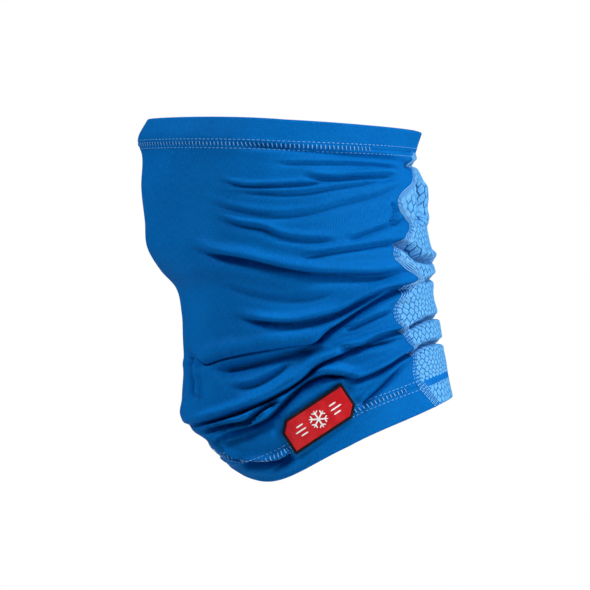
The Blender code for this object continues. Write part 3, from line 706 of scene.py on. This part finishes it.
def even_places(cloth, pitch, shift=0.0):
    """Angles round the tube whose places lie a pitch apart along the cloth."""
    angle = np.linspace(0, 2 * math.pi, 1441)
    return spaced(surface(angle, np.full(angle.shape, cloth)), angle, pitch, shift)


def hem_stitches(name, cloth, ladder_end, material):
    """The ladder of a cover stitch with a row of dashes on each side; further back only two fine lines show."""
    angle = even_places(cloth, LADDER_PITCH)
    row = np.full(angle.shape, cloth)
    shown = surface(angle, row)[:, 1] < ladder_end
    a, c = marks(angle[shown], row[shown], LADDER_SLANT, LADDER_LENGTH)
    parts = [threads(name + "_bars", a, c, LADDER_WIDTH, THREAD_HEIGHT, material)]
    for offset in (-DASH_OFFSET, DASH_OFFSET):
        angle = even_places(cloth, DASH_PITCH, 0.5)
        row = np.full(angle.shape, cloth)
        angle, row = metres_to_cloth(angle, row, 0.0, offset)
        a, c = marks(angle, row, DASH_LENGTH, 0.0)
        parts.append(threads(name + "_dashes", a, c, DASH_WIDTH, THREAD_HEIGHT * 0.8, material))
    return joined(name, parts)


def joined(name, parts):
    """One object from several, keeping its name."""
    bpy.ops.object.select_all(action="DESELECT")
    for thing in parts:
        thing.select_set(True)
    bpy.context.view_layer.objects.active = parts[0]
    bpy.ops.object.join()
    parts[0].name = name
    parts[0].data.name = name
    return parts[0]


def seam_rows(pitch):
    """Cloth percentages down the seam, a pitch apart."""
    rows = np.linspace(HEM + 1, 99.3, RUN_PLACES)
    return spaced(surface(seam_angles(rows), rows), rows, pitch, 0.5)


def seam_offset(rows, offset, side):
    """Angles of places at a distance from the seam, squarely across it."""
    edge = seam_angles(rows)
    slope = (seam_angles(rows + 0.4) - seam_angles(rows - 0.4)) / 0.8
    per_angle = metres_round(edge, rows)
    per_cloth = DOWN / 100
    tilt = np.arctan2(slope * per_angle, per_cloth)
    angle = edge + offset * np.cos(tilt) / per_angle
    moved = rows - offset * np.sin(tilt) / per_cloth
    return (angle if side > 0 else 2 * math.pi - angle), np.clip(moved, 0, 100)


def seam_threads(name, side, material):
    """The dotted lines of a flatlock seam."""
    parts = []
    rows = seam_rows(SEAM_DASH_PITCH)
    reach = SEAM_DASH_LENGTH / DOWN * 100 / 2
    for offset in SEAM_LINES:
        paths = [seam_offset(np.clip(rows + t * reach, 0, 100), offset, side) for t in np.linspace(-1, 1, 5)]
        a, c = (np.stack(each, axis=1) for each in zip(*paths))
        parts.append(threads(name + "_line", a, c, SEAM_DASH_WIDTH, THREAD_HEIGHT, material, TAPE_HEIGHT))
    return joined(name, parts)


def seam_tape(name, side, material):
    """The raised band of a flatlock seam, over the place where the panels meet."""
    rows = np.linspace(HEM - 0.3, 99.7, TAPE_STEPS)
    columns = np.linspace(-1, 1, 11)
    paths = [seam_offset(rows, t * TAPE_WIDTH / 2, side) for t in columns]
    angle, cloth = (np.stack(each, axis=1) for each in zip(*paths))
    height = TAPE_HEIGHT * np.sqrt(np.maximum(1 - columns**6, 0)) - TAPE_SINK
    outer = surface(angle, cloth) + height[None, :, None] * normals(angle, cloth)
    return cloth_wall(name, angle, cloth, outer, TAPE_CLOTH, False, material)


# The node trees
class Tree:
    """Short calls for building a material's nodes."""

    def __init__(self, name):
        self.material = bpy.data.materials.new(name)
        self.material.use_nodes = True
        self.nodes = self.material.node_tree.nodes
        self.links = self.material.node_tree.links
        self.shader = self.nodes["Principled BSDF"]

    def put(self, socket, value):
        if isinstance(value, bpy.types.NodeSocket):
            self.links.new(value, socket)
        else:
            socket.default_value = value

    def math(self, operation, *values):
        node = self.nodes.new("ShaderNodeMath")
        node.operation = operation
        for socket, value in zip(node.inputs, values):
            self.put(socket, value)
        return node.outputs[0]

    def times(self, first, second):
        return self.math("MULTIPLY", first, second)

    def uv(self, layer):
        node = self.nodes.new("ShaderNodeUVMap")
        node.uv_map = layer
        split = self.nodes.new("ShaderNodeSeparateXYZ")
        self.put(split.inputs[0], node.outputs[0])
        return split.outputs[0], split.outputs[1]

    def point(self, x, y, z=0.0):
        node = self.nodes.new("ShaderNodeCombineXYZ")
        for socket, value in zip(node.inputs, (x, y, z)):
            self.put(socket, value)
        return node.outputs[0]

    def object_place(self):
        return self.nodes.new("ShaderNodeTexCoord").outputs["Object"]

    def noise(self, vector, scale, detail=2.0):
        node = self.nodes.new("ShaderNodeTexNoise")
        self.put(node.inputs["Vector"], vector)
        node.inputs["Scale"].default_value = scale
        node.inputs["Detail"].default_value = detail
        return node.outputs["Fac"]

    def streaks(self, u, v, across, down, detail, shift=0.0):
        """Noise on the cloth, with so many waves to a metre across it and down it."""
        return self.noise(self.point(self.times(u, across), self.times(v, down), shift), 1.0, detail)

    def ranged(self, value, low, high, new_low=0.0, new_high=1.0):
        node = self.nodes.new("ShaderNodeMapRange")
        node.interpolation_type = "SMOOTHSTEP"
        for socket, number in zip(node.inputs, (value, low, high, new_low, new_high)):
            self.put(socket, number)
        return node.outputs[0]

    def mix(self, share, first, second):
        node = self.nodes.new("ShaderNodeMix")
        node.data_type = "RGBA"
        self.put(node.inputs[0], share)
        self.put(node.inputs[6], first)
        self.put(node.inputs[7], second)
        return node.outputs[2]

    def bump(self, height, distance, strength=1.0):
        node = self.nodes.new("ShaderNodeBump")
        node.inputs["Strength"].default_value = strength
        node.inputs["Distance"].default_value = distance
        self.put(node.inputs["Height"], height)
        return node.outputs[0]

    def finish(self, colour, roughness, normal=None, sheen=0.0, sheen_rough=0.5, specular=0.5, tint=None):
        self.put(self.shader.inputs["Base Color"], colour)
        self.put(self.shader.inputs["Roughness"], roughness)
        if normal is not None:
            self.put(self.shader.inputs["Normal"], normal)
        self.shader.inputs["Sheen Weight"].default_value = sheen
        self.shader.inputs["Sheen Roughness"].default_value = sheen_rough
        if tint is not None:
            self.shader.inputs["Sheen Tint"].default_value = tint
        self.shader.inputs["Specular IOR Level"].default_value = specular
        return self.material


def knit_height(tree, u, v):
    """The wales of a fine knit: rows of small slanted loops."""
    wale = tree.times(u, 1 / WALE)
    part = tree.math("ABSOLUTE", tree.math("SUBTRACT", tree.math("FRACT", wale), 0.5))
    slant = tree.math("MULTIPLY_ADD", part, 0.9, tree.times(v, 1 / COURSE))
    loop = tree.math("SINE", tree.times(slant, 2 * math.pi))
    rib = tree.math("SUBTRACT", 1.0, tree.times(part, 2.0))
    return tree.math("MULTIPLY_ADD", loop, 0.35, rib)


def knit_colour(tree, u, v, tones):
    """Colour of a heathered knit: small streaks of paler yarn, and broad soft changes."""
    dark, body, light = tones
    streak = tree.streaks(u, v, 1100.0, 330.0, 2.0)
    broad = tree.streaks(u, v, 30.0, 22.0, 3.0)
    colour = tree.mix(tree.ranged(streak, 0.35, 0.75), dark, body)
    return tree.mix(tree.times(tree.ranged(broad, 0.35, 0.75), 0.35), colour, light), streak


def plain_knit(name, tones, patterned=False):
    """The plain knit; where it is patterned, the honeycomb takes its place between the seams."""
    tree = Tree(name)
    u, v = tree.uv("cloth")
    colour, streak = knit_colour(tree, u, v, tones)
    height = tree.math("MULTIPLY_ADD", streak, 0.6, knit_height(tree, u, v))
    rough = tree.ranged(streak, 0.3, 0.8, 0.62, 0.48)
    if patterned:
        behind, _ = tree.uv("zone")
        share = tree.ranged(behind, -0.0004, 0.0004)
        back, _, back_height = patterned_look(tree, u, v)
        colour = tree.mix(share, colour, back)
        height = tree.mix(share, height, back_height)
    return tree.finish(colour, rough, tree.bump(height, 0.00016, 0.7), sheen=0.05, sheen_rough=0.4,
                       specular=0.02, tint=(0.02, 0.40, 1.0, 1))


def cell_lines(tree):
    """Distance to the nearest honeycomb line, from the UV map that holds the places in the honeycomb."""
    p, q = tree.uv("cells")

    def folded(shift):
        x = tree.math("SUBTRACT", tree.math("FRACT", tree.math("ADD", p, shift)), 0.5)
        y = tree.math("SUBTRACT", tree.math("FRACT", tree.math("ADD", q, shift)), 0.5)
        square = tree.math("ADD", tree.times(x, x), tree.times(CELL_SQUASH, tree.times(y, y)))
        x, y = tree.math("ABSOLUTE", x), tree.math("ABSOLUTE", y)
        slant = 2 / (1 + CELL_SQUASH)
        other = tree.math("MULTIPLY_ADD", y, slant * CELL_SQUASH, tree.times(x, slant))
        return square, tree.math("SUBTRACT", 0.5, tree.math("MAXIMUM", x, other))

    first_square, first = folded(10.0)
    second_square, second = folded(10.5)
    nearer = tree.math("LESS_THAN", first_square, second_square)
    gap = tree.math("SUBTRACT", first, second)
    return tree.math("MULTIPLY_ADD", nearer, gap, second)


def patterned_look(tree, u, v):
    """Colour, roughness and height of the honeycomb knit."""
    dark, body, light = PANEL
    line = tree.ranged(cell_lines(tree), 0.02, 0.11)
    streak = tree.streaks(u, v, 1500.0, 420.0, 1.0)
    dots = tree.streaks(u, v, 1900.0, 1500.0, 0.0, 3.0)
    knit = tree.mix(tree.ranged(streak, 0.35, 0.7), dark, body)
    knit = tree.mix(tree.times(tree.ranged(dots, 0.5, 0.7), 0.55), knit, light)
    height = tree.math("MULTIPLY_ADD", line, 1.2, tree.times(streak, 0.5))
    return tree.mix(line, PANEL_LINE, knit), tree.ranged(streak, 0.3, 0.8, 0.6, 0.45), height


def patterned_knit(name):
    tree = Tree(name)
    u, v = tree.uv("cloth")
    colour, rough, height = patterned_look(tree, u, v)
    return tree.finish(colour, rough, tree.bump(height, 0.0002, 0.8), sheen=0.08, sheen_rough=0.4,
                       specular=0.05, tint=(0.3, 0.7, 1.0, 1))


def thread_material(name, tones):
    """Twisted polyester thread."""
    tree = Tree(name)
    fleck = tree.noise(tree.object_place(), 1400.0, 1.0)
    tone = tree.mix(tree.ranged(fleck, 0.35, 0.7), *tones)
    return tree.finish(tone, tree.ranged(fleck, 0.3, 0.7, 0.5, 0.38), tree.bump(fleck, 0.0001, 0.6), sheen=0.15)


def rubber_material(name, tones, grain_scale, wear_scale, worn, rough, relief, specular):
    """Moulded rubber: a fine grain, and broad changes of tone and gloss over the ranges worn and rough."""
    tree = Tree(name)
    coords = tree.object_place()
    grain = tree.noise(coords, grain_scale)
    wear = tree.noise(coords, wear_scale, 3.0)
    tone = tree.mix(tree.ranged(wear, *worn), *tones)
    gloss = tree.ranged(wear, 0.3, 0.7, *rough)
    return tree.finish(tone, gloss, tree.bump(grain, relief, 0.6), specular=specular)


# The badge
def on_cloth(along, across, height):
    """Points at a height above the smooth cloth, at distances along and across the badge."""
    along, across = np.broadcast_arrays(np.asarray(along, float), np.asarray(across, float))
    middle_y, middle_z = side_place(100 * BADGE_FROM_FRONT, 100 * BADGE_FROM_TOP)
    y = middle_y + along * math.cos(BADGE_RISE) - across * math.sin(BADGE_RISE)
    z = middle_z + along * math.sin(BADGE_RISE) + across * math.cos(BADGE_RISE)
    angle, cloth = np.full(y.shape, math.pi / 2), np.full(y.shape, 100 * BADGE_FROM_TOP)
    turn, drop = TURN_STEP / 10, CLOTH_STEP / 5
    for _ in range(PLACING_ROUNDS):
        here = tube(angle, cloth)
        by_angle = (tube(angle + turn, cloth) - here) / turn
        by_cloth = (tube(angle, cloth + drop) - here) / drop
        off_y, off_z = y - here[..., 1], z - here[..., 2]
        area = by_angle[..., 1] * by_cloth[..., 2] - by_cloth[..., 1] * by_angle[..., 2]
        angle = angle + (off_y * by_cloth[..., 2] - off_z * by_cloth[..., 1]) / area
        cloth = cloth + (off_z * by_angle[..., 1] - off_y * by_angle[..., 2]) / area
    normal, _ = directions(angle, cloth, tube)
    return tube(angle, cloth) + np.asarray(height)[..., None] * normal


def badge_patch(inset, height):
    """A grid of points over the badge's outline, drawn in by an inset."""
    half_length, half_width = BADGE_LENGTH / 2 - inset, BADGE_WIDTH / 2 - inset
    chamfer = BADGE_CHAMFER - (2 - math.sqrt(2)) * inset
    corner = np.linspace(0, 1, CORNER_LINES) * chamfer
    middle = np.linspace(chamfer - half_length, half_length - chamfer, BADGE_STATIONS)[1:-1]
    along = np.concatenate([corner - half_length, middle, half_length - corner[::-1]])
    top = half_width - np.maximum(0, chamfer - half_length - along)
    low = -half_width + np.maximum(0, along - half_length + chamfer)
    t = np.linspace(0, 1, BADGE_LINES)
    across = low[:, None] + (top - low)[:, None] * t[None, :]
    return on_cloth(np.repeat(along[:, None], BADGE_LINES, 1), across, height)


def rounded_step(inset, height, radius, steps, rising):
    """Insets and heights over a rounded edge that is at an inset and tops out at a height."""
    turn = np.linspace(0, math.pi / 2, steps)
    if rising:
        return [(inset + radius * (1 - math.cos(a)), height - radius * (1 - math.sin(a))) for a in turn]
    return [(inset - radius * (1 - math.sin(a)), height - radius * (1 - math.cos(a))) for a in turn]


def stacked(name, profile, material):
    """A closed badge part: a patch at the first and last place of its profile, and rings between."""
    patches = [badge_patch(inset, height) for inset, height in profile]
    rows, columns = patches[0].shape[:2]
    rim = rim_of(rows, columns)
    flat = [patch.reshape(-1, 3) for patch in patches]
    points = [flat[0]] + [patch[rim] for patch in flat[1:-1]] + [flat[-1]]
    starts = np.cumsum([0] + [len(p) for p in points])
    rings = [rim] + [np.arange(len(rim)) + starts[i] for i in range(1, len(points) - 1)] + [rim + starts[-2]]
    quads = [grid_faces(rows, columns, 0), grid_faces(rows, columns, starts[-2])]
    quads += [strip(first, second) for first, second in zip(rings, rings[1:])]
    thing = link(name, closed_mesh(name, np.concatenate(points), np.concatenate(quads)), material)
    thing.data.set_sharp_from_angle(angle=SHARP_ANGLE)
    return thing


def badge_tray(material):
    floor = GAP + BADGE_BASE
    top = floor + BADGE_RIM_HEIGHT
    profile = [(0.0, GAP), (0.0, top - TRAY_ROUND)]
    profile += rounded_step(0.0, top, TRAY_ROUND, 5, True)[1:]
    profile += rounded_step(BADGE_RIM_WIDTH, top, INNER_ROUND, 4, False)
    profile += [(BADGE_RIM_WIDTH, floor)]
    return stacked("badge_tray", profile, material)


def badge_plate(material):
    low = GAP + BADGE_BASE + GAP
    top = low + BADGE_FACE_THICKNESS
    inset = BADGE_RIM_WIDTH + GAP / 2
    profile = [(inset, low), (inset, top - INNER_ROUND)]
    profile += rounded_step(inset, top, INNER_ROUND, 4, True)[1:]
    return stacked("badge_plate", profile, material)


def bars(name, places, height, thickness, material):
    """Small raised bars on the badge: for each its middle, its direction in degrees, its length and width."""
    points, quads, count = [], [], 0
    rows, columns = 9, 3
    for along, across, turn, length, width in places:
        t = np.linspace(-length / 2, length / 2, rows)[:, None]
        ends = np.sqrt(np.maximum(1 - (np.abs(t) / (length / 2)) ** 6, 0.1))
        s = np.linspace(-width / 2, width / 2, columns)[None, :] * ends
        c, d = math.cos(math.radians(turn)), math.sin(math.radians(turn))
        a, b = along + t * c - s * d, across + t * d + s * c
        points += [on_cloth(a, b, height + level).reshape(-1, 3) for level in (thickness, -thickness)]
        half = rows * columns
        quads += [grid_faces(rows, columns, count), grid_faces(rows, columns, count + half, flip=True),
                  strip(rim_of(rows, columns, count), rim_of(rows, columns, count + half))]
        count += 2 * half
    thing = link(name, closed_mesh(name, np.concatenate(points), np.concatenate(quads)), material)
    thing.data.set_sharp_from_angle(angle=BAR_SHARP_ANGLE)
    return thing


def badge_motif(material):
    """A plain snow crystal between short lines, moulded on the face."""
    places = [(0, 0, turn, CRYSTAL, CRYSTAL_BAR) for turn in (30, 90, 150)]
    out, twig = TWIG_PLACE * CRYSTAL, TWIG_LENGTH * CRYSTAL
    for turn in range(30, 390, 60):
        for lean in (-TWIG_LEAN, TWIG_LEAN):
            a = out * math.cos(math.radians(turn)) + twig / 2 * math.cos(math.radians(turn + lean))
            b = out * math.sin(math.radians(turn)) + twig / 2 * math.sin(math.radians(turn + lean))
            places.append((a, b, turn + lean, twig, TWIG_WIDTH * CRYSTAL_BAR))
    for side in (-1, 1):
        for along, across, length in MOTIF_LINES:
            places.append((side * along, across, 0, length, CRYSTAL_BAR))
    top = GAP + BADGE_BASE + GAP + BADGE_FACE_THICKNESS
    return bars("badge_motif", places, top, BAR_HEIGHT, material)


def back_hem_tape(material):
    """The plain band that covers the hem's stitches across the back panel."""
    rows = np.linspace(-1, 1, 9)
    edge = float(seam_angles(np.array(100 - HEM)))
    angle = np.linspace(edge, 2 * math.pi - edge, 160)
    angle, across = np.meshgrid(angle, rows)
    cloth = 100 - HEM + across * BACK_TAPE / 2 / DOWN * 100
    height = BACK_TAPE_HEIGHT * np.sqrt(np.maximum(1 - across**6, 0)) - BACK_TAPE_SINK
    outer = surface(angle, cloth) + height[..., None] * normals(angle, cloth)
    return cloth_wall("back_hem_tape", angle, cloth, outer, TAPE_CLOTH, False, material)


# The scene
def light(name, place, size, power, aim):
    lamp = bpy.data.lights.new(name, "AREA")
    lamp.shape = "DISK"
    lamp.size = size
    lamp.energy = power
    thing = bpy.data.objects.new(name, lamp)
    thing.location = place
    thing.rotation_euler = (Vector(aim) - Vector(place)).to_track_quat("-Z", "Y").to_euler()
    bpy.context.collection.objects.link(thing)


def make_world():
    """White to the camera, and a soft even light to the object."""
    world = bpy.data.worlds.new("studio")
    bpy.context.scene.world = world
    world.use_nodes = True
    nodes, links = world.node_tree.nodes, world.node_tree.links
    soft = nodes["Background"]
    soft.inputs["Color"].default_value = (1, 1, 1, 1)
    soft.inputs["Strength"].default_value = WORLD_LIGHT
    white = nodes.new("ShaderNodeBackground")
    white.inputs["Color"].default_value = (1, 1, 1, 1)
    white.inputs["Strength"].default_value = 1.0
    path = nodes.new("ShaderNodeLightPath")
    mix = nodes.new("ShaderNodeMixShader")
    links.new(path.outputs["Is Camera Ray"], mix.inputs[0])
    links.new(soft.outputs[0], mix.inputs[1])
    links.new(white.outputs[0], mix.inputs[2])
    links.new(mix.outputs[0], nodes["World Output"].inputs["Surface"])


def make_floor():
    bm = bmesh.new()
    bmesh.ops.create_circle(bm, cap_ends=True, segments=96, radius=FLOOR_RADIUS)
    mesh = bpy.data.meshes.new("floor")
    bm.to_mesh(mesh)
    bm.free()
    tree = Tree("floor_paint")
    cloud = tree.noise(tree.object_place(), 3.0, 3.0)
    tone = tree.mix(cloud, (0.78, 0.78, 0.78, 1), (0.82, 0.82, 0.82, 1))
    floor = link("floor", mesh, tree.finish(tone, 0.8, specular=0.2), smooth=False)
    floor.location = (0, 0, FLOOR_HEIGHT)


def make_camera():
    data = bpy.data.cameras.new("camera")
    data.sensor_width = 36
    data.lens = 36 * CAMERA_DISTANCE / FRAME_SIZE
    data.clip_start, data.clip_end = 0.1, 30
    camera = bpy.data.objects.new("camera", data)
    camera.location = (AIM[0] + CAMERA_DISTANCE, AIM[1], AIM[2])
    camera.rotation_euler = (math.radians(90), 0, math.radians(90))
    bpy.context.collection.objects.link(camera)
    bpy.context.scene.camera = camera


def main():
    front = front_cloth(plain_knit("front_knit", PLAIN))
    back = back_cloth(patterned_knit("back_knit"))
    top = hem_band("top_hem_band", 0.0, HEM, plain_knit("top_hem_knit", PLAIN))
    bottom = hem_band("bottom_hem_band", 100 - HEM, 100.0, plain_knit("bottom_hem_knit", PLAIN, True))
    stitch = thread_material("stitch_thread", THREAD)
    seam = thread_material("seam_thread", SEAM_THREAD)
    tape = plain_knit("seam_knit", TAPE)
    pieces = [top, front, back, bottom]
    stitches = hem_stitches("top_stitches", HEM, TOP_LADDER_END, stitch)
    low_stitches = hem_stitches("bottom_stitches", 100 - HEM, BOTTOM_LADDER_END, stitch)
    seams = []
    for name, side in (("left", 1), ("right", -1)):
        seams.append(seam_tape(name + "_seam_tape", side, tape))
        seams.append(seam_threads(name + "_seam_threads", side, seam))
    tray = badge_tray(rubber_material("badge_rubber_look", RUBBER, 2600.0, 160.0, (0.45, 0.8), (0.42, 0.6),
                                      0.00006, 0.12))
    plate = badge_plate(rubber_material("badge_red_look", RED, 2200.0, 120.0, (0.4, 0.75), (0.36, 0.5),
                                        0.00005, 0.15))
    motif = badge_motif(thread_material("motif_white", WHITE))
    back_tape = back_hem_tape(tape)
    for piece in pieces + seams + [stitches, low_stitches, tray, plate, motif, back_tape]:
        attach(piece, "root")
    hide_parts("front_panel")
    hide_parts("back_panel")
    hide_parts("top_hem")
    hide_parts("bottom_hem")
    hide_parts("badge_border")
    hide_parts("badge_face")
    make_world()
    make_floor()
    make_camera()
    light("key", (0.75, 0.95, 1.5), 0.4, KEY_POWER, (0, 0.02, -0.12))
    light("front_rim", (0.35, -1.4, 1.1), 0.5, RIM_POWER, (0, 0.0, -0.1))
    light("back_rim", (0.8, 1.5, 0.1), 0.8, BACK_POWER, (0, 0.05, -0.1))
    light("fill", (1.2, -1.0, 1.5), 0.6, FILL_POWER, (0, 0.0, -0.12))
    bpy.context.scene.view_settings.view_transform = "Standard"


main()
